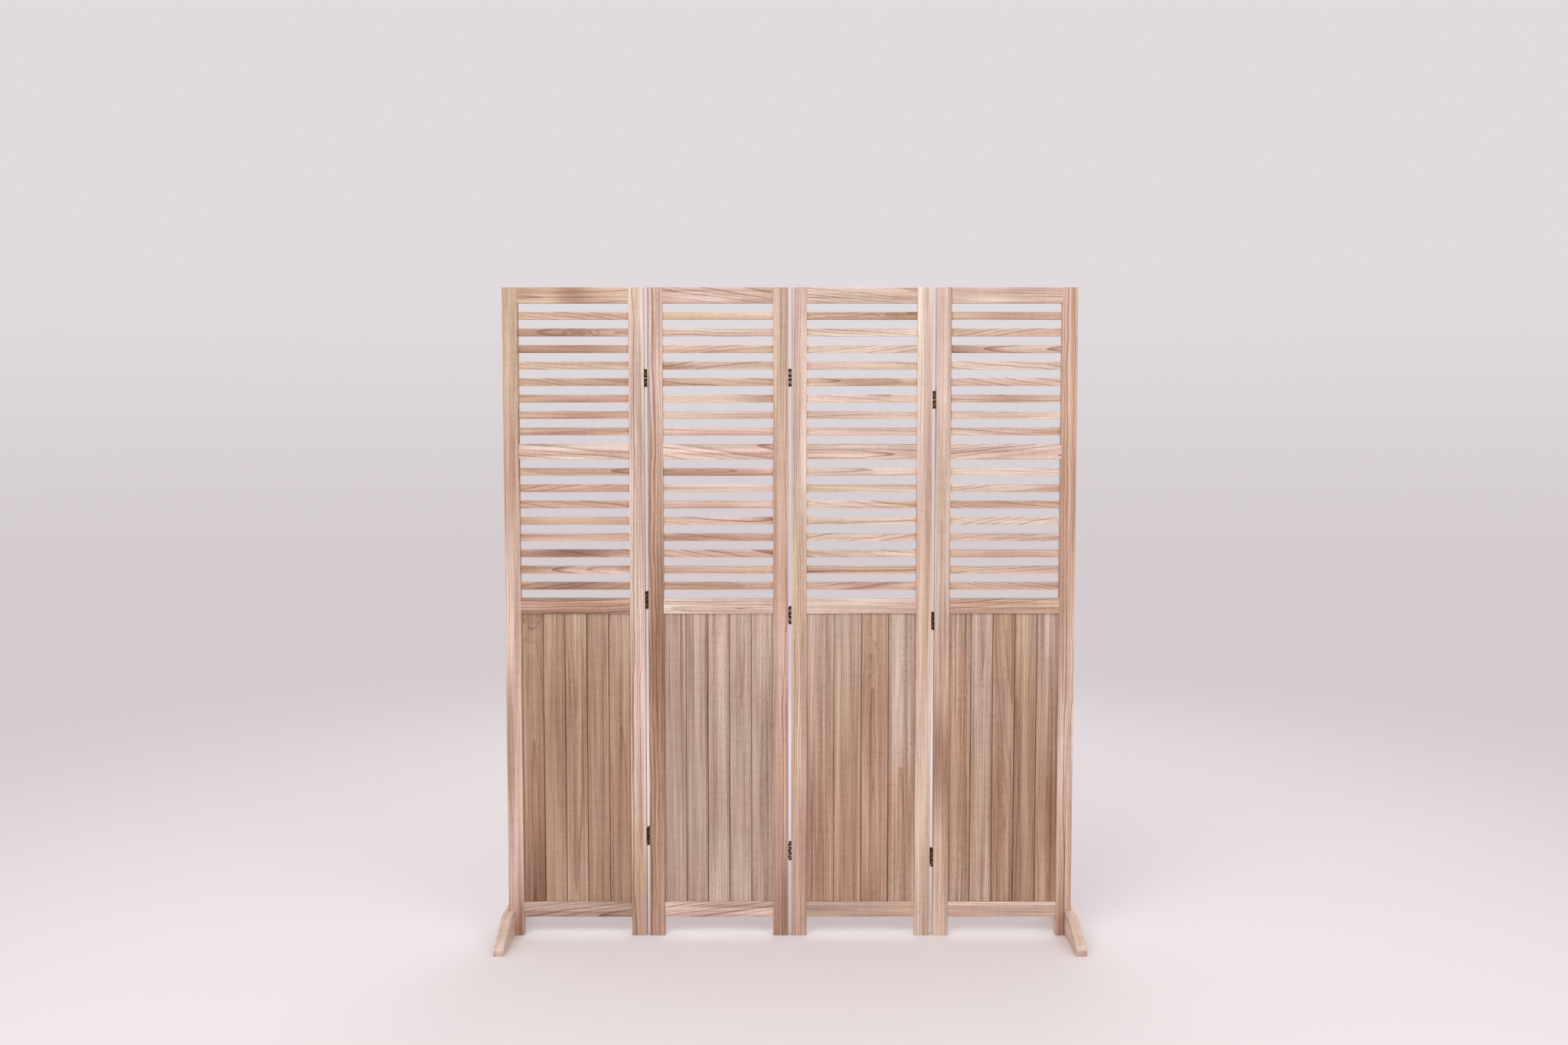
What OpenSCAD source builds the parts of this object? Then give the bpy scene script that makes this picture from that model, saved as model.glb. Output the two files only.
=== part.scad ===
// Four-panel folding room divider with slatted bays above tongue-and-groove boards.
// Front is -Y, +X runs to the right, +Z is up and the floor is z = 0.
// Panels are numbered 1 to 4 from left to right, hinge lines 1 to 3 likewise.

/* [Panels] */
// Width of one panel
panel_w = 365; // [340:5:400]
// Height of the screen
panel_h = 1700; // [1640:10:1800]
// Thickness of the stiles and rails
frame_t = 20; // [20:1:24]
// Width of a stile and height of a rail
member_w = 40; // [38:1:46]
// Free height under the bottom rail
leg_h = 50; // [40:5:70]
// Space between two neighbouring panels
panel_gap = 8; // [8:0.5:10]

/* [Slatted bays] */
// Height of each of the two bays in a panel
bay_h = 362; // [340:2:380]
// Slats in one bay
slat_n = 8; // [6:1:9]
// Height of a slat
slat_h = 20; // [16:1:24]
// Thickness of a slat
slat_t = 8; // [6:1:9]

/* [Boards] */
// Boards side by side in panels 1 to 4
board_counts = [5, 5, 4, 5];
// Thickness of a board
board_t = 9; // [8:0.5:10]
// Chamfer that makes the groove between two boards
board_chamfer = 1.5; // [0.5:0.25:2]

/* [Joinery] */
// Length of a rail's tenon
tenon_len = 20; // [12:1:24]
// Thickness of a rail's tenon
tenon_t = 8; // [6:1:10]
// Shoulder above and below a tenon
tenon_shoulder = 6; // [4:1:8]
// How far the slats and boards reach into the frame
housing = 7; // [5:1:9]

/* [Hinges] */
// Height of one double-action hinge
hinge_h = 45; // [42:1:50]
// Width of a leaf across the panel's edge
leaf_w = 18; // [16:1:18]
// Thickness of a leaf and of a link
leaf_t = 0.9; // [0.8:0.1:1]
// Outer diameter of a knuckle
knuckle_d = 3.8; // [3.6:0.1:4]
// Diameter of a hinge pin
pin_d = 2; // [1.8:0.1:2]
// Height of one leaf knuckle
knuckle_h = 5.5; // [5:0.5:6]
// Open space between the upper and the lower half of a hinge
hinge_split = 3; // [2:0.5:4]
// Hinge heights on the line between panels 1 and 2
line_1_z = [1468, 891, 266];
// Hinge heights on the line between panels 2 and 3
line_2_z = [1469, 851, 225];
// Hinge heights on the line between panels 3 and 4
line_3_z = [1412, 836, 208];

/* [Feet] */
// Length of a foot from front to back
foot_len = 320; // [280:10:340]
// Height of a foot
foot_h = 66; // [60:1:72]
// Thickness of a foot
foot_t = 26; // [24:1:30]
// How deep the stile sits in the foot
foot_notch = 15; // [12:1:16]
// Length of the level top of a foot
foot_flat = 88; // [70:2:100]
// Height of the upright end of a toe
toe_h = 15; // [12:1:20]
// How far the toe's top edge lies under the line of the sloping top
toe_dip = 7.4; // [4:0.2:10]
// Radius that rounds the top of a toe
toe_r = 75; // [50:1:90]

/* [Hidden] */
$fn = 48;

// Panels and their frame
panel_n = 4;
panel_pitch = panel_w + panel_gap;
screen_w = panel_n * panel_w + (panel_n - 1) * panel_gap;
opening_w = panel_w - 2 * member_w;
tenon_h = member_w - 2 * tenon_shoulder;
bottom_rail_z = leg_h;
board_z = bottom_rail_z + member_w;
top_rail_z = panel_h - member_w;
upper_bay_z = top_rail_z - bay_h;
middle_rail_z = upper_bay_z - member_w;
lower_bay_z = middle_rail_z - bay_h;
lock_rail_z = lower_bay_z - member_w;
board_h = lock_rail_z - board_z;
rail_heights = [bottom_rail_z, lock_rail_z, middle_rail_z, top_rail_z];
bay_heights = [lower_bay_z, upper_bay_z];
slat_gap = (bay_h - slat_n * slat_h) / (slat_n + 1);

// Boards: the outer ones and the ends keep some room for the wood to swell
swell_room = 1;
board_reach = housing - swell_room;
board_gap = 0.3;
tongue_t = 3;
tongue_len = 4;
tongue_play = 0.2;

// Double-action hinge: front and back pins stand on the middle of the gap
pin_set = frame_t / 2 + 0.5;
pin_y = [-pin_set, pin_set];
half_h = (hinge_h - hinge_split) / 2;
half_mid = (hinge_split + half_h) / 2;
knuckle_play = 0.25;
link_h = half_h - 2 * (knuckle_h + knuckle_play);
pin_play = 0.05;
pin_proud = 0.5;
line_z = [line_1_z, line_2_z, line_3_z];

// Hinge screws: four to a leaf, set in a zigzag
leaf_screw_y = 4;
leaf_screw_z = [-16, -7, 7, 16];
leaf_screw_d = 3;
leaf_screw_len = 14;
leaf_screw_head_d = 5;
leaf_screw_head_h = 0.8;

// Foot screws: two through the web of each foot into the stile's edge
foot_screw_z = [18, 46];
foot_screw_d = 4;
foot_screw_len = 35;
foot_screw_head_d = 8;
foot_screw_head_h = 3;
drive_w = 1;
drive_depth = 0.4;

// How far a cutting shape runs past the face that it opens
over = 1;

// Colours of the wood and the metal
frame_wood = [0.85, 0.73, 0.66];
slat_wood = [0.83, 0.71, 0.63];
board_wood = [0.72, 0.59, 0.50];
foot_wood = [0.84, 0.74, 0.67];
dark_bronze = [0.16, 0.12, 0.09];
bright_link = [0.55, 0.50, 0.42];

panel_numbers = [1:panel_n];
line_numbers = [1:panel_n - 1];

function panel_x(p) = -screen_w / 2 + (p - 1) * panel_pitch;
function line_x(l) = panel_x(l) + panel_w + panel_gap / 2;
function slat_z(i) = slat_gap + i * (slat_h + slat_gap);

// ---- wood ----

// Box from x, z with its middle on the panel's plane
module centred_box(x, z, w, t, h) {
    translate([x, -t / 2, z])
        cube([w, t, h]);
}

// Left stile with its inner edge at x = member_w; a right stile is its mirror image
module plain_stile() {
    difference() {
        centred_box(0, 0, member_w, frame_t, panel_h);
        for (z = rail_heights)
            centred_box(member_w - tenon_len, z + tenon_shoulder, tenon_len + over, tenon_t, tenon_h);
        for (bay = bay_heights, i = [0:slat_n - 1])
            centred_box(member_w - housing, bay + slat_z(i), housing + over, slat_t, slat_h);
        centred_box(member_w - housing, board_z - housing, housing + over, board_t, board_h + 2 * housing);
    }
}

// Holes for the hinge screws, drilled along +X from the stile's outer edge at x = 0
module hinge_pilot_holes(heights) {
    for (z = heights, k = [0:3])
        translate([-over, screw_y(k), z + leaf_screw_z[k]])
            rotate([0, 90, 0])
                cylinder(d = leaf_screw_d, h = leaf_screw_len - leaf_t + over);
}

function screw_y(k) = k % 2 == 0 ? -leaf_screw_y : leaf_screw_y;

// Holes for the two screws that hold a foot
module foot_pilot_holes() {
    for (z = foot_screw_z)
        translate([-over, 0, z])
            rotate([0, 90, 0])
                cylinder(d = foot_screw_d, h = foot_screw_len - foot_t + foot_notch + over);
}

module stile_left(p) {
    color(frame_wood)
        translate([panel_x(p), 0, 0])
            difference() {
                plain_stile();
                if (p == 1) foot_pilot_holes();
                if (p > 1) hinge_pilot_holes(line_z[p - 2]);
            }
}

module stile_right(p) {
    color(frame_wood)
        translate([panel_x(p) + panel_w, 0, 0])
            difference() {
                mirror([1, 0, 0]) plain_stile();
                if (p == panel_n) mirror([1, 0, 0]) foot_pilot_holes();
                if (p < panel_n) rotate([0, 0, 180]) hinge_pilot_holes(line_z[p - 1]);
            }
}

// Rail with a tenon at each end; board_side is +1 or -1 where an edge is grooved for boards
module rail(p, z, board_side = 0) {
    color(frame_wood)
        translate([panel_x(p) + member_w, 0, z])
            difference() {
                union() {
                    centred_box(0, 0, opening_w, frame_t, member_w);
                    centred_box(-tenon_len, tenon_shoulder, opening_w + 2 * tenon_len, tenon_t, tenon_h);
                }
                if (board_side > 0)
                    centred_box(-over, member_w - housing, opening_w + 2 * over, board_t, housing + over);
                if (board_side < 0)
                    centred_box(-over, -over, opening_w + 2 * over, board_t, housing + over);
            }
}

module rail_top(p) {
    rail(p, top_rail_z);
}

module rail_middle(p) {
    rail(p, middle_rail_z);
}

module rail_lock(p) {
    rail(p, lock_rail_z, -1);
}

module rail_bottom(p) {
    rail(p, bottom_rail_z, 1);
}

// Row of flat slats whose ends are housed in the stiles
module slats(p, bay) {
    color(slat_wood)
        for (i = [0:slat_n - 1])
            translate([panel_x(p) + member_w, 0, bay + slat_z(i)])
                centred_box(-housing, 0, opening_w + 2 * housing, slat_t, slat_h);
}

module slats_upper(p) {
    slats(p, upper_bay_z);
}

module slats_lower(p) {
    slats(p, lower_bay_z);
}

// Edges of a board's cross-section, counter-clockwise: the right edge first, then the left
function tongue_edge(x, f, c, t) = [
    [x - c, -f], [x, c - f], [x, -t], [x + tongue_len, -t],
    [x + tongue_len, t], [x, t], [x, f - c], [x - c, f]
];
function slot_edge(x, f, c, t) = [
    [x + c, f], [x, f - c], [x, t], [x + tongue_len + tongue_play, t],
    [x + tongue_len + tongue_play, -t], [x, -t], [x, c - f], [x + c, -f]
];
function plain_right_edge(x, f) = [[x, -f], [x, f]];
function plain_left_edge(x, f) = [[x, f], [x, -f]];

// Tongue-and-groove boards that fill the opening between the lock and bottom rails
module boards(p) {
    n = board_counts[p - 1];
    w = opening_w / n;
    f = board_t / 2;
    color(board_wood)
        for (i = [0:n - 1]) {
            right = i == n - 1
                ? plain_right_edge(w + board_reach, f)
                : tongue_edge(w, f, board_chamfer, tongue_t / 2);
            left = i == 0
                ? plain_left_edge(-board_reach, f)
                : slot_edge(board_gap, f, board_chamfer, tongue_t / 2 + tongue_play);
            translate([panel_x(p) + member_w + i * w, 0, board_z - board_reach])
                linear_extrude(height = board_h + 2 * board_reach)
                    polygon(concat(right, left));
        }
}

// ---- feet ----

// Front half of a foot's side outline, drawn with the toe towards +X and the height along +Y:
// a level top, a straight slope and an arc that touches the slope and meets the toe's end face
module foot_half_outline() {
    shoulder = [foot_flat / 2, foot_h];
    toe = [foot_len / 2, toe_h];
    reach = toe - shoulder;
    slope = atan2(-reach[1], reach[0]) - asin(toe_dip / norm(reach));
    along = [cos(slope), -sin(slope)];
    outward = [sin(slope), cos(slope)];
    touch = shoulder + along * (reach * along - sqrt(toe_dip * (2 * toe_r - toe_dip)));
    corner = shoulder + along * reach[0] / along[0];
    difference() {
        polygon([[0, 0], [toe[0], 0], corner, shoulder, [0, foot_h]]);
        difference() {
            polygon([touch, corner + over * [1, 1], toe]);
            translate(touch - outward * toe_r)
                circle(r = toe_r, $fn = 180);
        }
    }
}

// Foot standing under the left end of the screen, its outer face towards -X
module plain_foot() {
    difference() {
        translate([foot_notch - foot_t, 0, 0])
            rotate([90, 0, 90])
                linear_extrude(height = foot_t) {
                    foot_half_outline();
                    mirror([1, 0]) foot_half_outline();
                }
        centred_box(0, -over, foot_notch + over, frame_t, foot_h + 2 * over);
        for (z = foot_screw_z)
            translate([foot_notch - foot_t, 0, z])
                rotate([0, 90, 0]) {
                    cylinder(d = foot_screw_d, h = foot_t);
                    cylinder(d1 = foot_screw_head_d, d2 = foot_screw_d, h = foot_screw_head_h);
                }
    }
}

// Countersunk wood screw along +X with its head flush at x = 0
module foot_screw() {
    difference() {
        rotate([0, 90, 0])
            union() {
                cylinder(d1 = foot_screw_head_d, d2 = foot_screw_d, h = foot_screw_head_h);
                cylinder(d = foot_screw_d, h = foot_screw_len);
            }
        cross_slot(foot_screw_head_d * 0.6);
    }
}

// Cross-shaped driver slot cut into a screw head at x = 0
module cross_slot(width) {
    for (turn = [0, 90])
        rotate([turn, 0, 0])
            translate([-over, -width / 2, -drive_w / 2])
                cube([over + drive_depth, width, drive_w]);
}

module plain_foot_screws() {
    for (z = foot_screw_z)
        translate([foot_notch - foot_t, 0, z])
            foot_screw();
}

module foot_left() {
    color(foot_wood)
        translate([-screen_w / 2, 0, 0])
            plain_foot();
}

module foot_right() {
    color(foot_wood)
        translate([screen_w / 2, 0, 0])
            mirror([1, 0, 0]) plain_foot();
}

module foot_screws_left() {
    color(dark_bronze)
        translate([-screen_w / 2, 0, 0])
            plain_foot_screws();
}

module foot_screws_right() {
    color(dark_bronze)
        translate([screen_w / 2, 0, 0])
            mirror([1, 0, 0]) plain_foot_screws();
}

// ---- hinges ----
// A hinge has an upper and a lower half. In the upper half the left leaf holds the front
// pin and the right leaf the back pin; in the lower half it is the other way round.
// One link joins the two pins of each half, so the panels fold both ways.

// Two knuckles at the top and bottom of one half, with webs to a leaf on the +X side
module leaf_knuckles(y) {
    for (end = [-1, 1])
        translate([0, y, end * (half_h - knuckle_h) / 2 - knuckle_h / 2]) {
            cylinder(d = knuckle_d, h = knuckle_h);
            translate([0, -leaf_t / 2, 0])
                cube([panel_gap / 2, leaf_t, knuckle_h]);
            ear_y = y > 0 ? leaf_w / 2 - y - over : -leaf_t / 2;
            ear_len = pin_set - leaf_w / 2 + over + leaf_t / 2;
            translate([panel_gap / 2 - leaf_t, ear_y, 0])
                cube([leaf_t, ear_len, knuckle_h]);
        }
}

// Leaf on the right-hand panel's edge; a left-hand leaf is this one turned by half a turn
module right_leaf() {
    difference() {
        union() {
            translate([panel_gap / 2 - leaf_t, -leaf_w / 2, -hinge_h / 2])
                cube([leaf_t, leaf_w, hinge_h]);
            translate([0, 0, half_mid]) leaf_knuckles(pin_y[1]);
            translate([0, 0, -half_mid]) leaf_knuckles(pin_y[0]);
        }
        for (y = pin_y)
            translate([0, y, -hinge_h])
                cylinder(d = pin_d, h = 2 * hinge_h);
        for (k = [0:3])
            translate([0, screw_y(k), leaf_screw_z[k]])
                rotate([0, 90, 0])
                    cylinder(d = leaf_screw_d, h = panel_gap);
    }
}

// Link that joins the front and back pins of one half
module link() {
    difference() {
        union() {
            translate([-leaf_t / 2, -pin_set, -link_h / 2])
                cube([leaf_t, 2 * pin_set, link_h]);
            for (y = pin_y)
                translate([0, y, -link_h / 2])
                    cylinder(d = knuckle_d, h = link_h);
        }
        for (y = pin_y)
            translate([0, y, -link_h])
                cylinder(d = pin_d + 2 * pin_play, h = 2 * link_h);
    }
}

// The two pins that belong to the right-hand leaf
module right_leaf_pins() {
    for (side = [-1, 1])
        translate([0, side * pin_set, side * half_mid - half_h / 2 - pin_proud])
            cylinder(d = pin_d, h = half_h + 2 * pin_proud);
}

// The four screws of the right-hand leaf, heads towards the gap
module right_leaf_screws() {
    for (k = [0:3])
        translate([panel_gap / 2 - leaf_t, screw_y(k), leaf_screw_z[k]])
            difference() {
                rotate([0, 90, 0])
                    union() {
                        cylinder(d = leaf_screw_d, h = leaf_screw_len);
                        translate([0, 0, -leaf_screw_head_h])
                            cylinder(d = leaf_screw_head_d, h = leaf_screw_head_h);
                    }
                translate([-leaf_screw_head_h, 0, 0])
                    cross_slot(leaf_screw_head_d * 0.6);
            }
}

// Repeats a hinge part on line l; a left-hand part is turned by half a turn
module on_line(l, turn = 0) {
    for (z = line_z[l - 1])
        translate([line_x(l), 0, z])
            rotate([0, 0, turn])
                children();
}

module hinge_leaves_left(l) {
    color(dark_bronze)
        on_line(l, 180) right_leaf();
}

module hinge_leaves_right(l) {
    color(dark_bronze)
        on_line(l) right_leaf();
}

module hinge_links_upper(l) {
    color(bright_link)
        on_line(l)
            translate([0, 0, half_mid]) link();
}

module hinge_links_lower(l) {
    color(bright_link)
        on_line(l)
            translate([0, 0, -half_mid]) link();
}

// Pins that are fixed in the leaves of panel p
module hinge_pins(p) {
    color(bright_link) {
        if (p > 1) on_line(p - 1) right_leaf_pins();
        if (p < panel_n) on_line(p, 180) right_leaf_pins();
    }
}

// Screws that hold the leaves of panel p
module hinge_screws(p) {
    color(dark_bronze) {
        if (p > 1) on_line(p - 1) right_leaf_screws();
        if (p < panel_n) on_line(p, 180) right_leaf_screws();
    }
}

for (p = panel_numbers) {
    stile_left(p);
    stile_right(p);
    rail_top(p);
    rail_middle(p);
    rail_lock(p);
    rail_bottom(p);
    slats_upper(p);
    slats_lower(p);
    boards(p);
    hinge_pins(p);
    hinge_screws(p);
}
for (l = line_numbers) {
    hinge_leaves_left(l);
    hinge_leaves_right(l);
    hinge_links_upper(l);
    hinge_links_lower(l);
}
foot_left();
foot_right();
foot_screws_left();
foot_screws_right();
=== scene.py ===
"""Looks of the folding screen: raw sanded wood members, bronze hinges, studio light and the camera.

Every wooden member is built again as its own eased stick or tongue-and-groove board, at the size and
place of its CAD node. Each stick carries its own grain: which way the growth rings run, how far away the
tree's pith was, and the tones along its length. The wood material reads those from the mesh.
"""

import math
import random

import bmesh
import bpy
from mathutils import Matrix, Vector


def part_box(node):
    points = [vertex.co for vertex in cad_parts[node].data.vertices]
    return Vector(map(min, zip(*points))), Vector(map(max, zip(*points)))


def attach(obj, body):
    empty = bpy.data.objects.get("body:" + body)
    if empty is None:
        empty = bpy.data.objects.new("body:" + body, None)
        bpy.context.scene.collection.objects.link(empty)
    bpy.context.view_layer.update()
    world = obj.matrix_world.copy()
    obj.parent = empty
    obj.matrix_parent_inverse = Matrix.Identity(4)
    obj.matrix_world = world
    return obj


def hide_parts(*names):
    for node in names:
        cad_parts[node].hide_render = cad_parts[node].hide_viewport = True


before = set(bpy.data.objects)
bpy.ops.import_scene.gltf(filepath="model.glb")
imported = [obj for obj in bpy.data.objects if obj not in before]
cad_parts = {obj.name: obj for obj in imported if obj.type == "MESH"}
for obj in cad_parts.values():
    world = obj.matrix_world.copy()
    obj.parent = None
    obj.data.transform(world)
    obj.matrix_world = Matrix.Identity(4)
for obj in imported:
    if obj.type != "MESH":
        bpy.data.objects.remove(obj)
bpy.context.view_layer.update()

PANELS = (1, 2, 3, 4)
MM = 0.001

# ---------------------------------------------------------------- wood tones
# In sRGB. The tones and the names given to each piece below were chosen from average colours that
# were measured over the pieces of the reference, and then corrected against the same averages.
TONES = {
    "pale": (221, 202, 187),
    "cream": (215, 194, 179),
    "pink": (210, 184, 170),
    "lilac": (200, 174, 161),
    "straw": (205, 180, 157),
    "tan": (200, 171, 151),
    "rose": (191, 158, 139),
    "russet": (180, 146, 124),
    "brown": (167, 132, 110),
    "umber": (145, 110, 90),
    "ash": (189, 166, 151),
    "grey": (178, 154, 139),
    "sand": (183, 155, 134),
    "oak": (171, 140, 118),
}

# Tones along each piece. Rails and slats read from left to right, stiles and boards from top to bottom.
# A slash parts the tones of a rail's or slat's upper edge from those of its lower edge.
STILE_LEFT = (
    "straw straw rose pink pink tan pink rose",
    "pink pink tan russet brown russet russet rose",
    "pink pink cream straw tan tan rose rose",
    "pink cream pink cream tan brown tan pink",
)
STILE_RIGHT = (
    "pale cream cream cream pink pink straw rose",
    "pink straw tan rose tan rose rose russet",
    "cream cream pink tan tan pink pink pink",
    "tan rose russet rose tan pink tan rose",
)
RAIL_TOP = (
    "rose tan brown tan straw / tan straw brown rose straw",
    "pink cream pink cream straw / rose pink cream pink pink", "cream cream pink", "lilac pink lilac pink",
)
RAIL_MIDDLE = (
    "pink cream pink", "pink lilac pink / cream pink rose", "pink cream lilac", "pink lilac pink",
)
RAIL_LOCK = (
    "rose russet rose", "cream pink cream", "cream cream pink", "rose rose tan",
)
RAIL_BOTTOM = (
    "ash ash grey", "pink lilac pink", "grey grey rose", "pink pink pink / rose lilac pink",
)
SLATS_UPPER = (
    (
        "tan", "rose russet tan / russet brown tan", "rose russet tan / brown brown rose", "straw",
        "straw tan rose", "rose tan rose / rose brown rose", "tan rose tan", "tan rose tan",
    ),
    (
        "straw", "pink cream pink", "straw tan straw", "straw pink straw / brown pink straw",
        "tan straw tan / rose tan tan", "pale cream rose", "pale cream pink",
        "pink lilac pink / pink rose rose",
    ),
    (
        "straw rose brown", "pale cream pale", "pale cream pink", "pink straw", "straw rose tan", "cream",
        "pink cream", "pink",
    ),
    (
        "straw rose tan", "straw tan", "grey cream pink / umber rose pink", "pale cream", "pink",
        "cream rose cream", "cream pale", "pale pink rose",
    ),
)
SLATS_LOWER = (
    (
        "tan", "rose tan rose / russet rose rose", "rose tan rose", "rose tan rose", "rose tan rose",
        "rose umber rose / brown brown tan", "brown pink brown / russet tan pink",
        "tan brown rose / brown umber brown",
    ),
    (
        "straw tan pink / umber umber russet", "pink cream", "pink tan pink", "straw pink tan",
        "rose russet tan / brown rose rose", "tan", "tan straw / rose tan", "rose russet tan",
    ),
    (
        "cream pale", "straw cream", "cream pink straw", "pale cream", "cream pink", "pink", "tan",
        "tan rose tan",
    ),
    (
        "pale cream", "cream cream rose", "tan rose tan", "cream", "pink", "tan rose tan", "straw tan",
        "tan rose",
    ),
)
BOARDS = (
    (
        "oak oak brown umber", "sand oak oak oak", "sand oak oak sand", "sand oak oak oak",
        "sand oak brown oak",
    ),
    (
        "ash grey grey grey", "ash grey grey grey", "lilac ash grey ash", "ash grey grey ash",
        "ash grey grey grey",
    ),
    (
        "ash sand russet russet", "ash sand russet russet", "sand brown russet brown",
        "ash ash russet sand",
    ),
    (
        "sand russet oak sand", "ash ash sand sand", "oak oak brown oak", "sand oak oak oak",
        "ash sand brown russet",
    ),
)
# How often a member is straight, flamed or arched, and how much calmer the long members run.
STRAIGHT, MIXED, VARIED = (1, 0, 0), (0.50, 0.43, 0.07), (0.5, 0.15, 0.35)
CALM = 0.35
# Growth-ring figures that stand out, by member name; every other piece gets one at random.
FIGURES = {
    "rail_top_1": "cathedral", "rail_top_2": "flame", "rail_middle_2": "flame", "rail_bottom_1": "flame",
    "boards_1_0": "cathedral", "slats_upper_1_1": "cathedral", "boards_3_2": "cathedral",
    "slats_upper_1_4": "flame", "slats_lower_1_6": "cathedral", "boards_1_2": "cathedral",
    "rail_lock_2": "cathedral", "slats_lower_1_2": "flame", "slats_upper_2_3": "flame",
}

# Small knots that the rings run around: how far along the piece (0 to 1), how far off its middle, and half
# its width.
KNOTS = {
    "boards_1_0": (0.02, 0.003, 0.019), "slats_upper_1_1": (0.56, 0.000, 0.007),
    "slats_lower_1_5": (0.03, 0.004, 0.005), "slats_lower_2_7": (0.66, -0.002, 0.006),
    "slats_upper_4_5": (0.45, 0.009, 0.007), "slats_upper_3_0": (0.78, 0.002, 0.006),
    "boards_3_2": (0.16, -0.008, 0.009), "boards_4_2": (0.72, 0.006, 0.010),
}
NO_KNOT = (9.0, 9.0, 0.01)


def linear(rgb):
    """An sRGB colour in 0-255 as scene-linear 0-1."""
    return tuple((c / 255 / 12.92) if c <= 10 else ((c / 255 + 0.055) / 1.055) ** 2.4 for c in rgb)


def tone_at(stops, t):
    """The colour at t, 0 to 1, along a list of tone names spread evenly over the piece."""
    names = stops.split()
    if len(names) == 1:
        return linear(TONES[names[0]])
    place = min(max(t, 0.0), 1.0) * (len(names) - 1)
    i = min(int(place), len(names) - 2)
    a, b = linear(TONES[names[i]]), linear(TONES[names[i + 1]])
    k = place - i
    k = k * k * (3 - 2 * k)
    return tuple(x + (y - x) * k for x, y in zip(a, b))


def figure(name, chances):
    """(pith across, pith depth, lean across, lean in depth, ring spacing, seed) of one piece, the lengths in
    metres. The name seeds it. chances says how often such a member is straight, flamed or arched."""
    rng = random.Random(name)

    def between(low, high, signed=False):
        return rng.uniform(low, high) * (rng.choice((-1, 1)) if signed else 1)

    seed = between(0, 9)
    kind = FIGURES.get(name) or rng.choices(("straight", "flame", "cathedral"), chances)[0]
    calm = CALM if name.startswith(("stile", "boards")) else 1.0
    if kind == "cathedral":
        return (between(0, 0.006, True), between(0.010, 0.025), between(0, 0.012, True) * calm,
                between(0.03, 0.07, True) * calm, between(0.0055, 0.008), seed)
    if kind == "flame":
        side = rng.choice((-1, 1))
        return (side * between(0.02, 0.05), between(0.02, 0.05), -side * between(0.08, 0.17) * calm,
                between(0, 0.04, True) * calm, between(0.0055, 0.008), seed)
    return (between(0.08, 0.22, True), between(0.01, 0.08), between(0.004, 0.036, True) * calm,
            between(0, 0.02, True) * calm, between(0.0042, 0.0075), seed)


# ---------------------------------------------------------------- shader graph helper
class Graph:
    """Short ways to add and join shader nodes in one material."""

    def __init__(self, name):
        self.material = bpy.data.materials.new(name)
        self.material.use_nodes = True
        self.tree = self.material.node_tree
        self.tree.nodes.clear()

    def add(self, kind, inputs=None, **settings):
        node = self.tree.nodes.new(kind)
        for key, value in settings.items():
            setattr(node, key, value)
        for key, value in (inputs or {}).items():
            self.put(node.inputs[key], value)
        return node

    def put(self, socket, value):
        if isinstance(value, bpy.types.NodeSocket):
            self.tree.links.new(value, socket)
        else:
            socket.default_value = value

    def math(self, operation, *values, clamp=False):
        node = self.add("ShaderNodeMath", operation=operation, use_clamp=clamp)
        for socket, value in zip(node.inputs, values):
            self.put(socket, value)
        return node.outputs[0]

    def vector(self, operation, *values):
        node = self.add("ShaderNodeVectorMath", operation=operation)
        for socket, value in zip(node.inputs, values):
            self.put(socket, value)
        return node.outputs[0]

    def ramp(self, value, low, high, start=0.0, end=1.0):
        """value from low..high to start..end, smooth at both ends."""
        inputs = {"Value": value, "From Min": low, "From Max": high, "To Min": start, "To Max": end}
        return self.add("ShaderNodeMapRange", inputs, interpolation_type="SMOOTHSTEP").outputs["Result"]

    def noise(self, where, scale, detail=3.0, rough=0.55):
        """Noise about 0.5, at scale (across, depth, along) cycles a metre."""
        stretched = self.vector("MULTIPLY", where, scale)
        inputs = {"Vector": stretched, "Scale": 1.0, "Detail": detail, "Roughness": rough}
        return self.add("ShaderNodeTexNoise", inputs).outputs["Fac"]

    def mix(self, amount, a, b, blend="MIX"):
        node = self.add("ShaderNodeMix", data_type="RGBA", blend_type=blend)
        self.put(node.inputs[0], amount)
        self.put(node.inputs[6], a)
        self.put(node.inputs[7], b)
        return node.outputs[2]

    def attribute(self, name, output):
        return self.add("ShaderNodeAttribute", attribute_name=name).outputs[output]

    def finish(self, shader):
        out = self.add("ShaderNodeOutputMaterial")
        self.tree.links.new(shader.outputs[0], out.inputs["Surface"])
        return self.material


def colour(rgb):
    return (*linear(rgb), 1.0)


# ---------------------------------------------------------------- wood
# How much painted shade darkens the chamfers in the V-grooves between boards, and how much darker or
# lighter end grain, knots and eased edges are.
PAINTED_GROOVE_SHADE = 0.34
END_SHADE = 0.16
KNOT_SHADE = 0.26
EDGE_LIGHT = 0.05
# A knot's length over its width, and how many rings it lifts.
KNOT_STRETCH = 4.5
KNOT_RINGS = 2.6
RING_UNEVENNESS = 2.4
# Scene-linear tints of the late wood and of the straw-coloured and pink patches.
LATE_TINT = (0.50, 0.36, 0.30, 1.0)
STRAW_TINT = (0.99, 1.0, 0.94, 1.0)
PINK_TINT = (1.0, 0.96, 0.985, 1.0)
# A foot's pith (across, depth, ring spacing) and drift (lean across, lean in depth, seed).
FOOT_PITH = (-0.09, 0.03, 0.0065)
FOOT_DRIFT = (0.05, 0.02, 0.4)


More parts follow.
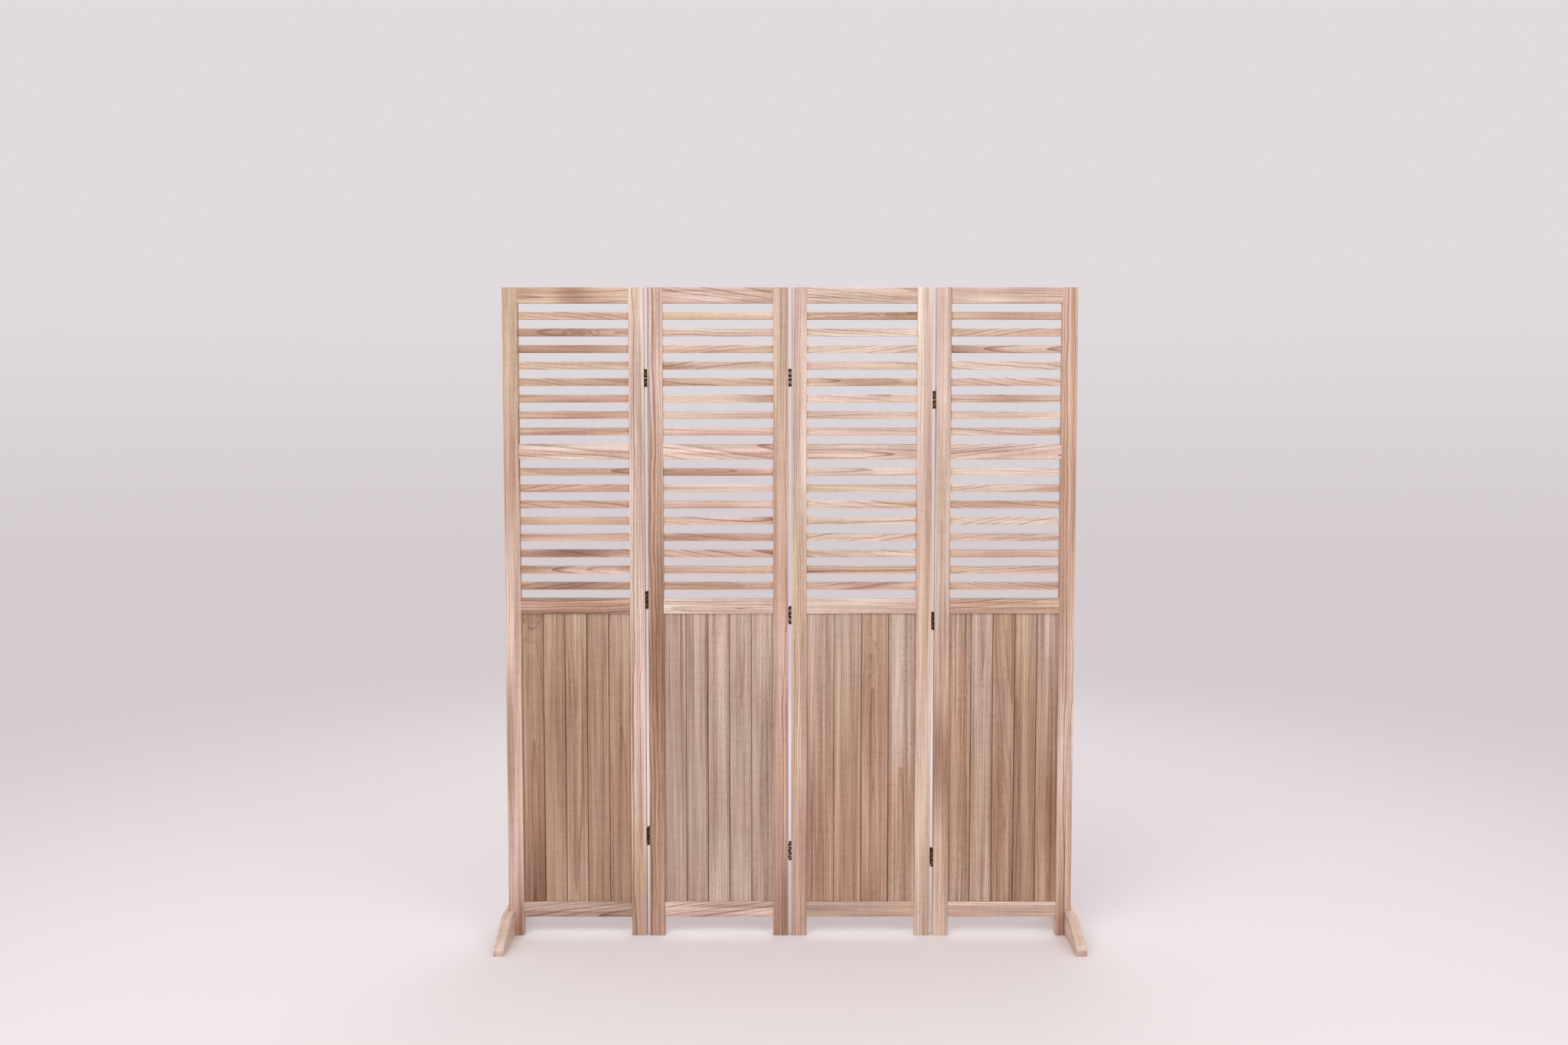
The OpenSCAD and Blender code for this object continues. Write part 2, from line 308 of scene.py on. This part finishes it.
def from_mesh(g):
    """The grain that a stick or board wrote on its own mesh."""
    return {"grain": g.attribute("grain", "Vector"), "pith": g.attribute("pith", "Vector"),
            "drift": g.attribute("drift", "Vector"), "tone": g.attribute("tone", "Color"),
            "edge": g.attribute("edge", "Fac"), "end": g.attribute("end", "Fac"),
            "groove": g.attribute("groove", "Fac"), "knot": g.attribute("knot", "Vector")}


def along_y(g):
    """The grain of a foot, which keeps its CAD mesh: it runs front to back, with end grain at the toes."""
    where = g.add("ShaderNodeTexCoord")
    xyz = g.add("ShaderNodeSeparateXYZ", {"Vector": where.outputs["Object"]}).outputs
    grain = g.add("ShaderNodeCombineXYZ", {"X": xyz[2], "Y": xyz[0], "Z": xyz[1]}).outputs[0]
    normal = g.add("ShaderNodeSeparateXYZ", {"Vector": where.outputs["Normal"]}).outputs
    patch = g.noise(grain, (30.0, 30.0, 6.0), 2.0)
    tone = g.mix(g.ramp(patch, 0.35, 0.65), colour(TONES["cream"]), colour(TONES["pink"]))
    return {"grain": grain, "pith": FOOT_PITH, "drift": FOOT_DRIFT, "tone": tone,
            "edge": 0.0, "end": g.ramp(g.math("ABSOLUTE", normal[1]), 0.90, 0.98), "groove": 0.0,
            "knot": NO_KNOT}


def wood(name, lines, streak, pore_strength, blotch, stretch, roughness, source=from_mesh):
    """Raw sanded wood, drawn from what its source knows: the grain (across, depth, along), pith, drift, tone,
    edge, end, groove and knot."""
    g = Graph(name)
    known = source(g)
    grain, pith, drift, tone = known["grain"], known["pith"], known["drift"], known["tone"]
    edge, end = known["edge"], known["end"]

    # distance from the pith, which leans along the piece and wanders
    split = g.add("ShaderNodeSeparateXYZ", {"Vector": grain}).outputs
    pith_xy = g.add("ShaderNodeSeparateXYZ", {"Vector": pith}).outputs
    lean = g.add("ShaderNodeSeparateXYZ", {"Vector": drift}).outputs
    seed = g.add("ShaderNodeCombineXYZ", {"X": lean[2], "Y": g.math("MULTIPLY", lean[2], 2.3),
                                          "Z": g.math("MULTIPLY", lean[2], 5.1)}).outputs[0]
    seeded = g.vector("ADD", grain, seed)
    wander_a = g.noise(seeded, (12.0, 12.0, 3.2), 2.0)
    wander_b = g.noise(g.vector("ADD", seeded, (7.3, 2.1, 5.7)), (70.0, 70.0, 14.0), 2.0)
    sway = g.math("ADD", g.math("MULTIPLY", g.math("SUBTRACT", wander_a, 0.5), 0.024),
                  g.math("MULTIPLY", g.math("SUBTRACT", wander_b, 0.5), 0.005))
    across = g.math("SUBTRACT", split[0], g.math("ADD", pith_xy[0], g.math("MULTIPLY", split[2], lean[0])))
    depth = g.math("ADD", split[1], g.math("ADD", pith_xy[1], g.math("MULTIPLY", split[2], lean[1])))
    across = g.math("ADD", across, sway)
    squares = g.math("ADD", g.math("MULTIPLY", across, across), g.math("MULTIPLY", depth, depth))
    radius = g.math("SQRT", squares)
    rings = g.math("ADD", g.math("DIVIDE", radius, pith_xy[2]), lean[2])
    scaled = g.math("MULTIPLY", radius, 60.0)
    by_radius = g.add("ShaderNodeCombineXYZ", {"X": scaled, "Y": lean[2]}).outputs[0]
    uneven = g.noise(by_radius, (1.0, 1.0, 1.0), 1.0)
    rings = g.math("ADD", rings, g.math("MULTIPLY", uneven, RING_UNEVENNESS))

    # a knot lifts the rings into a long hill, and darkens its middle
    place = g.add("ShaderNodeSeparateXYZ", {"Vector": known["knot"]}).outputs
    off_side = g.math("DIVIDE", g.math("SUBTRACT", split[0], place[0]), place[2])
    knot_length = g.math("MULTIPLY", place[2], KNOT_STRETCH)
    off_along = g.math("DIVIDE", g.math("SUBTRACT", split[2], place[1]), knot_length)
    off = g.math("ADD", g.math("MULTIPLY", off_side, off_side), g.math("MULTIPLY", off_along, off_along))
    off = g.math("MULTIPLY", off, g.ramp(wander_b, 0.3, 0.7, 0.6, 1.5))
    knot = g.math("EXPONENT", g.math("MULTIPLY", off, -1.0))
    rings = g.math("ADD", rings, g.math("MULTIPLY", knot, KNOT_RINGS))
    year = g.math("FRACT", rings)
    late = g.math("MULTIPLY", g.ramp(year, 0.45, 0.92), g.ramp(year, 0.93, 1.0, 1.0, 0.0))
    late = g.math("POWER", late, 2.0)
    which = g.math("FLOOR", rings)
    year_noise = g.add("ShaderNodeTexWhiteNoise", {"W": which}, noise_dimensions="1D").outputs["Value"]
    late = g.math("MULTIPLY", late, g.ramp(year_noise, 0.1, 0.9, 0.22, 1.0))
    year_tone = g.ramp(g.math("FRACT", g.math("MULTIPLY", year_noise, 7.0)), 0.0, 1.0, -0.05, 0.05)

    # long streaks, fine fibres, vessel pores and slow patches
    streaks = g.noise(seeded, (260.0, 260.0, 2.2 * stretch), 4.0, 0.72)
    bands = g.noise(g.vector("ADD", seeded, (5.5, 1.9, 2.7)), (90.0, 90.0, 1.3 * stretch), 2.0, 0.5)
    ripple = g.noise(g.vector("ADD", seeded, (2.2, 8.1, 4.4)), (12.0, 12.0, 75.0), 2.0, 0.6)
    fibres = g.noise(seeded, (1500.0, 1500.0, 24.0 * stretch), 2.0, 0.6)
    pores_raw = g.noise(seeded, (900.0, 900.0, 120.0), 1.0, 0.5)
    pores = g.ramp(pores_raw, 0.56, 0.70)
    pores = g.math("MULTIPLY", pores, g.ramp(year, 0.0, 0.55, 1.0, 0.35))
    patch = g.noise(g.vector("ADD", seeded, (3.1, 9.7, 1.3)), (34.0, 34.0, 1.9 * stretch), 3.0)
    warm = g.noise(g.vector("ADD", seeded, (8.9, 4.2, 6.1)), (30.0, 30.0, 2.6 * stretch), 2.0)

    late_tone = g.mix(1.0, tone, LATE_TINT, "MULTIPLY")
    surface = g.mix(g.math("MULTIPLY", late, lines), tone, late_tone)
    straw_tone = g.mix(1.0, surface, STRAW_TINT, "MULTIPLY")
    surface = g.mix(g.ramp(warm, 0.42, 0.66, 0.0, 0.8), surface, straw_tone)
    pink_tone = g.mix(1.0, surface, PINK_TINT, "MULTIPLY")
    surface = g.mix(g.ramp(warm, 0.52, 0.30, 0.0, 0.8), surface, pink_tone)
    value = g.ramp(patch, 0.28, 0.72, 1 - blotch, 1 + blotch)
    value = g.math("ADD", value, g.ramp(streaks, 0.3, 0.7, -streak, streak))
    value = g.math("ADD", value, g.ramp(bands, 0.3, 0.7, -0.6 * streak, 0.6 * streak))
    value = g.math("ADD", value, g.ramp(fibres, 0.25, 0.75, -0.07, 0.07))
    value = g.math("ADD", value, g.ramp(ripple, 0.3, 0.7, -0.03, 0.03))
    value = g.math("ADD", value, year_tone)
    value = g.math("SUBTRACT", value, g.math("MULTIPLY", pores, pore_strength))
    value = g.math("ADD", value, g.math("MULTIPLY", edge, EDGE_LIGHT))
    value = g.math("SUBTRACT", value, g.math("MULTIPLY", end, END_SHADE))
    knot_heart = g.math("POWER", knot, 3.0)
    value = g.math("SUBTRACT", value, g.math("MULTIPLY", knot_heart, KNOT_SHADE))
    # painted shade: the chamfer faces of the V-grooves between boards are darkened as if shaded in the recess
    value = g.math("SUBTRACT", value, g.math("MULTIPLY", known["groove"], PAINTED_GROOVE_SHADE))
    # darker wood is browner and lighter wood is paler
    red, green, blue = (g.math("POWER", value, power) for power in (0.85, 1.06, 1.18))
    shade = g.add("ShaderNodeCombineXYZ", {"X": red, "Y": green, "Z": blue}).outputs[0]
    surface = g.mix(1.0, surface, shade, "MULTIPLY")

    raised = g.math("ADD", g.math("MULTIPLY", fibres, 0.35), g.math("MULTIPLY", late, 0.30))
    height = g.math("SUBTRACT", raised, g.math("MULTIPLY", pores, 0.55))
    bump = g.add("ShaderNodeBump", {"Strength": 0.35, "Distance": 0.00025, "Height": height})
    rough = g.math("SUBTRACT", g.ramp(streaks, 0.2, 0.8, roughness + 0.10, roughness - 0.06),
                   g.math("MULTIPLY", edge, 0.08))
    shader = g.add("ShaderNodeBsdfPrincipled", {"Base Color": surface, "Roughness": rough,
                                                "Normal": bump.outputs[0], "Specular IOR Level": 0.32})
    return g.finish(shader)


# ---------------------------------------------------------------- metal
def bronze(name, dark, worn, worn_amount, roughness):
    """Bronze plating over steel, rubbed through to brighter metal in patches and fine scratches."""
    g = Graph(name)
    where = g.add("ShaderNodeTexCoord").outputs["Object"]
    mottle = g.noise(where, (240.0, 240.0, 240.0), 4.0, 0.6)
    scratch = g.noise(where, (2600.0, 900.0, 130.0), 3.0, 0.65)
    facing = g.add("ShaderNodeLayerWeight", {"Blend": 0.35}).outputs["Facing"]
    rubbed = g.math("MULTIPLY", g.ramp(mottle, 0.46, 0.62), g.ramp(scratch, 0.35, 0.6, 0.35, 1.0))
    surface = g.mix(g.math("MULTIPLY", rubbed, worn_amount), colour(dark), colour(worn))
    rough = g.math("ADD", g.ramp(mottle, 0.3, 0.7, roughness + 0.12, roughness - 0.05),
                   g.ramp(scratch, 0.3, 0.7, 0.05, -0.05))
    rough = g.math("SUBTRACT", rough, g.math("MULTIPLY", facing, 0.04))
    bump = g.add("ShaderNodeBump", {"Strength": 0.22, "Distance": 0.0002, "Height": scratch})
    shader = g.add("ShaderNodeBsdfPrincipled", {"Base Color": surface, "Roughness": rough, "Metallic": 1.0,
                                                "Normal": bump.outputs[0]})
    return g.finish(shader)


FRAME_WOOD = wood("frame_wood", 1.0, 0.21, 0.18, 0.21, 1.0, 0.56)
SLAT_WOOD = wood("slat_wood", 0.95, 0.14, 0.16, 0.15, 1.6, 0.55)
BOARD_WOOD = wood("board_wood", 0.62, 0.26, 0.46, 0.20, 0.8, 0.60)
FOOT_WOOD = wood("foot_wood", 0.40, 0.09, 0.14, 0.14, 2.0, 0.56, along_y)
LEAF_BRONZE = bronze("leaf_bronze", (50, 39, 31), (128, 108, 86), 0.40, 0.36)
LINK_BRONZE = bronze("link_bronze", (84, 71, 57), (184, 170, 148), 0.65, 0.26)
SCREW_BRONZE = bronze("screw_bronze", (74, 60, 48), (170, 150, 126), 0.60, 0.34)


# ---------------------------------------------------------------- sticks and boards
def solids(node):
    """The box (low corner, high corner) of each separate solid in a CAD node, lowest first, then leftmost."""
    mesh = bmesh.new()
    mesh.from_mesh(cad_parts[node].data)
    bmesh.ops.remove_doubles(mesh, verts=mesh.verts, dist=1e-6)
    left, boxes = set(mesh.verts), []
    while left:
        group, edge_of = set(), [left.pop()]
        while edge_of:
            v = edge_of.pop()
            group.add(v)
            for e in v.link_edges:
                other = e.other_vert(v)
                if other in left:
                    left.discard(other)
                    edge_of.append(other)
        xs, ys, zs = zip(*(v.co for v in group))
        boxes.append((Vector((min(xs), min(ys), min(zs))), Vector((max(xs), max(ys), max(zs)))))
    mesh.free()
    return sorted(boxes, key=lambda b: (round(b[0].z, 4), round(b[0].x, 4)))


def rounded(half_a, half_b, ease, steps=3):
    """A rectangle's outline with its corners rounded to ease, as (a, b) points in order."""
    points = []
    for quarter, (sa, sb) in enumerate(((1, 1), (-1, 1), (-1, -1), (1, -1))):
        for i in range(steps):
            angle = math.radians(90 * quarter + 90 * i / (steps - 1))
            points.append((sa * (half_a - ease) + ease * math.cos(angle),
                           sb * (half_b - ease) + ease * math.sin(angle)))
    return points


class Wood:
    """One visible wooden member: all its sticks in one mesh, with the grain written on the vertices."""

    def __init__(self, name):
        self.name = name
        self.mesh = bmesh.new()
        layers = self.mesh.verts.layers
        self.grain = layers.float_vector.new("grain")
        self.pith = layers.float_vector.new("pith")
        self.drift = layers.float_vector.new("drift")
        self.knot = layers.float_vector.new("knot")
        self.tone = layers.float_color.new("tone")
        self.edge = self.mesh.faces.layers.float.new("edge")
        self.end = self.mesh.faces.layers.float.new("end")
        self.groove = self.mesh.faces.layers.float.new("groove")

    def stick(self, sections, place, stops, name, chances, edge_spans, end_rings, flip=False):
        """Lofts sections, a list of (along, outline of (across, depth)), and writes its grain.
        place turns (across, depth, along) into a point. edge_spans holds the outline spans that are eased,
        end_rings is how many rings of faces are eased at each end, and flip runs the tones from high to low."""
        across, depth, lean_a, lean_d, spacing, seed = figure(name, chances)
        low, high = sections[0][0], sections[-1][0]
        middle = (low + high) / 2
        halves = [half.strip() for half in stops.split("/")]
        knot = NO_KNOT
        if name in KNOTS:
            t, side, size = KNOTS[name]
            knot = (side, (high - low) * ((0.5 - t) if flip else (t - 0.5)), size)
        loops = []
        for along, outline in sections:
            loop = []
            for a, d in outline:
                v = self.mesh.verts.new(place(a, d, along))
                v[self.grain] = (a, d, along - middle)
                v[self.pith] = (across, depth, spacing)
                v[self.drift] = (lean_a, lean_d, seed)
                v[self.knot] = knot
                t = (along - low) / (high - low)
                v[self.tone] = (*tone_at(halves[0 if a > 0 else -1], 1 - t if flip else t), 1.0)
                loop.append(v)
            loops.append(loop)
        count = len(loops[0])
        for k in range(len(loops) - 1):
            for i in range(count):
                j = (i + 1) % count
                f = self.mesh.faces.new((loops[k][i], loops[k][j], loops[k + 1][j], loops[k + 1][i]))
                f.smooth = True
                at_end = k < end_rings or k >= len(loops) - 1 - end_rings
                f[self.edge] = 1.0 if i in edge_spans or at_end else 0.0
        for loop, turn in ((loops[0], True), (loops[-1], False)):
            f = self.mesh.faces.new(list(reversed(loop)) if turn else loop)
            f[self.end] = 1.0

    def finish(self, body, material, slot, *nodes):
        """Makes the object, rides it on body and hides the CAD nodes that it stands for."""
        bmesh.ops.recalc_face_normals(self.mesh, faces=self.mesh.faces)
        data = bpy.data.meshes.new(self.name)
        self.mesh.to_mesh(data)
        self.mesh.free()
        data.materials.append(material)
        piece = bpy.data.objects.new(self.name, data)
        bpy.context.scene.collection.objects.link(piece)
        weighted = piece.modifiers.new("even_faces", "WEIGHTED_NORMAL")
        weighted.keep_sharp = True
        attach(piece, body)
        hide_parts(*nodes)
        return piece


EDGE_STEPS = 3


def eased_stick(wood_piece, low, high, axis, stops, name, chances, ease, cuts=12):
    """A straight stick that fills the box low..high, with its grain along axis 'x' or 'z' and eased edges."""
    centre, half = (low + high) / 2, (high - low) / 2
    across, along = (2, 0) if axis == "x" else (0, 2)

    def place(a, d, s):
        p = Vector((0, centre.y + d, 0))
        p[across] = centre[across] + a
        p[along] = s
        return p

    def outline(inset):
        return rounded(half[across] - inset, half.y - inset, max(ease - inset, 0.1 * MM))

    sections = []
    start, stop = low[along], high[along]
    angles = [math.radians(90 * i / (EDGE_STEPS - 1)) for i in range(EDGE_STEPS)]
    corner = [(ease * (1 - math.cos(angle)), ease * (1 - math.sin(angle))) for angle in angles]
    for offset, inset in corner:
        sections.append((start + offset, outline(inset)))
    for i in range(1, cuts):
        sections.append((start + (stop - start) * i / cuts, rounded(half[across], half.y, ease)))
    for offset, inset in reversed(corner):
        sections.append((stop - offset, outline(inset)))
    spans = {q * EDGE_STEPS + i for q in range(4) for i in range(EDGE_STEPS - 1)}
    wood_piece.stick(sections, place, stops, name, chances, spans, EDGE_STEPS - 1, flip=(axis == "z"))


CHAMFER = 1.5 * MM
TONGUE = (4 * MM, 3 * MM)
GROOVE = (4.4 * MM, 3.4 * MM)


def board(wood_piece, low, high, first, last, stops, name, cuts=12):
    """One upright tongue-and-groove board: chamfered where it meets a neighbour, tongue on the right."""
    half_t = (high.y - low.y) / 2
    left, right = low.x, high.x - (0 if last else TONGUE[0])
    middle = (left + right) / 2
    outline = []
    c = 0 if last else CHAMFER
    outline += [(right - c, -half_t), (right, -half_t + c)] if c else [(right, -half_t)]
    if not last:
        outline += [(right, -TONGUE[1] / 2), (right + TONGUE[0], -TONGUE[1] / 2),
                    (right + TONGUE[0], TONGUE[1] / 2), (right, TONGUE[1] / 2)]
    outline += [(right, half_t - c), (right - c, half_t)] if c else [(right, half_t)]
    c = 0 if first else CHAMFER
    outline += [(left + c, half_t), (left, half_t - c)] if c else [(left, half_t)]
    if not first:
        outline += [(left, GROOVE[1] / 2), (left + GROOVE[0], GROOVE[1] / 2),
                    (left + GROOVE[0], -GROOVE[1] / 2), (left, -GROOVE[1] / 2)]
    outline += [(left, -half_t + c), (left + c, -half_t)] if c else [(left, -half_t)]
    outline = [(x - middle, y) for x, y in outline]

    def place(a, d, s):
        return Vector((middle + a, (low.y + high.y) / 2 + d, s))

    sections = [(low.z + (high.z - low.z) * i / cuts, outline) for i in range(cuts + 1)]
    wood_piece.stick(sections, place, stops, name, VARIED, set(), 0, flip=True)
    wood_piece.mesh.normal_update()
    for f in wood_piece.mesh.faces:
        f.smooth = False
        # the chamfer faces of the V-grooves get the groove mask, which paints shade onto them
        f[wood_piece.groove] = 1.0 if 0.2 < abs(f.normal.y) < 0.9 else 0.0


FRAME_EASE = 1.1 * MM
SLAT_EASE = 0.9 * MM
FOOT_EASE = 1.2 * MM
METAL_EASE = 0.15 * MM
RAILS = {"top": RAIL_TOP, "middle": RAIL_MIDDLE, "lock": RAIL_LOCK, "bottom": RAIL_BOTTOM}

for p in PANELS:
    body = f"panel_{p}"
    opening = (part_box(f"stile_left_{p}")[1].x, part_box(f"stile_right_{p}")[0].x)
    for side, tones in (("left", STILE_LEFT), ("right", STILE_RIGHT)):
        node = f"stile_{side}_{p}"
        piece = Wood(f"wood_{node}")
        eased_stick(piece, *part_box(node), "z", tones[p - 1], node, STRAIGHT, FRAME_EASE, cuts=24)
        piece.finish(body, FRAME_WOOD, "frame_wood", node)
    for place_name, tones in RAILS.items():
        node = f"rail_{place_name}_{p}"
        low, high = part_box(node)
        low.x, high.x = opening
        piece = Wood(f"wood_{node}")
        eased_stick(piece, low, high, "x", tones[p - 1], node, MIXED, FRAME_EASE)
        piece.finish(body, FRAME_WOOD, "frame_wood", node)
    for place_name, tones in (("upper", SLATS_UPPER), ("lower", SLATS_LOWER)):
        node = f"slats_{place_name}_{p}"
        piece = Wood(f"wood_{node}")
        boxes = solids(node)
        for i, (low, high) in enumerate(reversed(boxes)):
            eased_stick(piece, low, high, "x", tones[p - 1][i], f"{node}_{i}", MIXED, SLAT_EASE)
        piece.finish(body, SLAT_WOOD, "slat_wood", node)
    node = f"boards_{p}"
    piece = Wood(f"wood_{node}")
    boxes = sorted(solids(node), key=lambda b: b[0].x)
    for i, (low, high) in enumerate(boxes):
        board(piece, low, high, i == 0, i == len(boxes) - 1, BOARDS[p - 1][i], f"{node}_{i}")
    piece.finish(body, BOARD_WOOD, "board_wood", node)


# ---------------------------------------------------------------- CAD nodes that keep their own shape
def dress(node, material, ease):
    """Gives a CAD node its material, merges its flat faces and eases its edges with modifiers."""
    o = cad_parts[node]
    o.data.materials.clear()
    o.data.materials.append(material)
    weld = o.modifiers.new("weld", "WELD")
    weld.merge_threshold = 0.01 * MM
    flat = o.modifiers.new("flat_faces", "DECIMATE")
    flat.decimate_type = "DISSOLVE"
    flat.angle_limit = math.radians(1)
    bevel = o.modifiers.new("ease", "BEVEL")
    bevel.width = ease
    bevel.segments = 2
    bevel.limit_method = "ANGLE"
    bevel.angle_limit = math.radians(40)
    bevel.harden_normals = False
    o.modifiers.new("even_faces", "WEIGHTED_NORMAL")


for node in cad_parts:
    if node.startswith("foot_screws") or node.startswith("hinge_screws"):
        dress(node, SCREW_BRONZE, METAL_EASE)
    elif node.startswith("hinge_leaves"):
        dress(node, LEAF_BRONZE, METAL_EASE)
    elif node.startswith("hinge_links") or node.startswith("hinge_pins"):
        dress(node, LINK_BRONZE, METAL_EASE)
    elif node in ("foot_left", "foot_right"):
        dress(node, FOOT_WOOD, FOOT_EASE)


# ---------------------------------------------------------------- studio
WALL_HIGH = (226, 219, 222)
WALL_LOW = (212, 204, 207)
FLOOR_TONE = (234, 231, 231)

scene = bpy.context.scene
scene.view_settings.view_transform = "Standard"


def make_backdrop():
    """A plain pale backdrop all around, a little darker where it meets the floor."""
    world = bpy.data.worlds.new("studio")
    world.use_nodes = True
    tree = world.node_tree
    where = tree.nodes.new("ShaderNodeTexCoord")
    split = tree.nodes.new("ShaderNodeSeparateXYZ")
    rise = tree.nodes.new("ShaderNodeMapRange")
    rise.interpolation_type = "SMOOTHSTEP"
    rise.inputs["From Min"].default_value = -0.10
    rise.inputs["From Max"].default_value = 0.12
    blend = tree.nodes.new("ShaderNodeMix")
    blend.data_type = "RGBA"
    blend.inputs[6].default_value = colour(WALL_LOW)
    blend.inputs[7].default_value = colour(WALL_HIGH)
    tree.links.new(where.outputs["Generated"], split.inputs[0])
    tree.links.new(split.outputs[2], rise.inputs["Value"])
    tree.links.new(rise.outputs["Result"], blend.inputs[0])
    tree.links.new(blend.outputs[2], tree.nodes["Background"].inputs["Color"])
    scene.world = world


def make_floor():
    """A wide pale floor that fades into the backdrop's own colour far from the screen."""
    floor_data = bpy.data.meshes.new("floor")
    reach = 14.0
    corners = [(-reach, -reach, 0), (reach, -reach, 0), (reach, reach, 0), (-reach, reach, 0)]
    floor_data.from_pydata(corners, [], [(0, 1, 2, 3)])
    floor = bpy.data.objects.new("floor", floor_data)
    scene.collection.objects.link(floor)
    g = Graph("floor")
    where = g.add("ShaderNodeTexCoord").outputs["Object"]
    radius = g.add("ShaderNodeVectorMath", {0: where}, operation="LENGTH").outputs["Value"]
    speckle = g.noise(where, (180.0, 180.0, 180.0), 2.0)
    tone = g.mix(g.ramp(speckle, 0.3, 0.7, 0.0, 0.06), colour(FLOOR_TONE), colour(WALL_HIGH))
    matte = g.add("ShaderNodeBsdfDiffuse", {"Color": tone})
    glow = g.add("ShaderNodeEmission", {"Color": colour(WALL_LOW), "Strength": 1.0})
    fade = g.ramp(radius, 1.6, 5.0)
    blend = g.add("ShaderNodeMixShader", {0: fade, 1: matte.outputs[0], 2: glow.outputs[0]})
    floor_data.materials.append(g.finish(blend))


def soft_light(name, place, target, width, height, watts):
    data = bpy.data.lights.new(name, "AREA")
    data.shape = "RECTANGLE"
    data.size, data.size_y, data.energy = width, height, watts
    lamp = bpy.data.objects.new(name, data)
    lamp.location = place
    lamp.rotation_euler = (Vector(target) - Vector(place)).to_track_quat("-Z", "Y").to_euler()
    scene.collection.objects.link(lamp)


make_backdrop()
make_floor()
soft_light("key", (-1.6, -3.2, 3.4), (0.0, 0.0, 1.1), 2.6, 1.8, 64)
soft_light("fill", (2.4, -3.0, 2.2), (0.0, 0.0, 0.9), 2.0, 2.0, 26)
soft_light("back", (0.6, 3.4, 3.2), (0.0, 0.0, 1.0), 2.6, 1.8, 30)

camera_data = bpy.data.cameras.new("camera")
camera_data.sensor_fit = "HORIZONTAL"
camera_data.sensor_width = 36.0
camera_data.lens = 31.76
camera = bpy.data.objects.new("camera", camera_data)
camera.location = (-0.0154, -3.5957, 1.3131)
camera.rotation_euler = (math.radians(86.507), 0.0, 0.0)
scene.collection.objects.link(camera)
scene.camera = camera
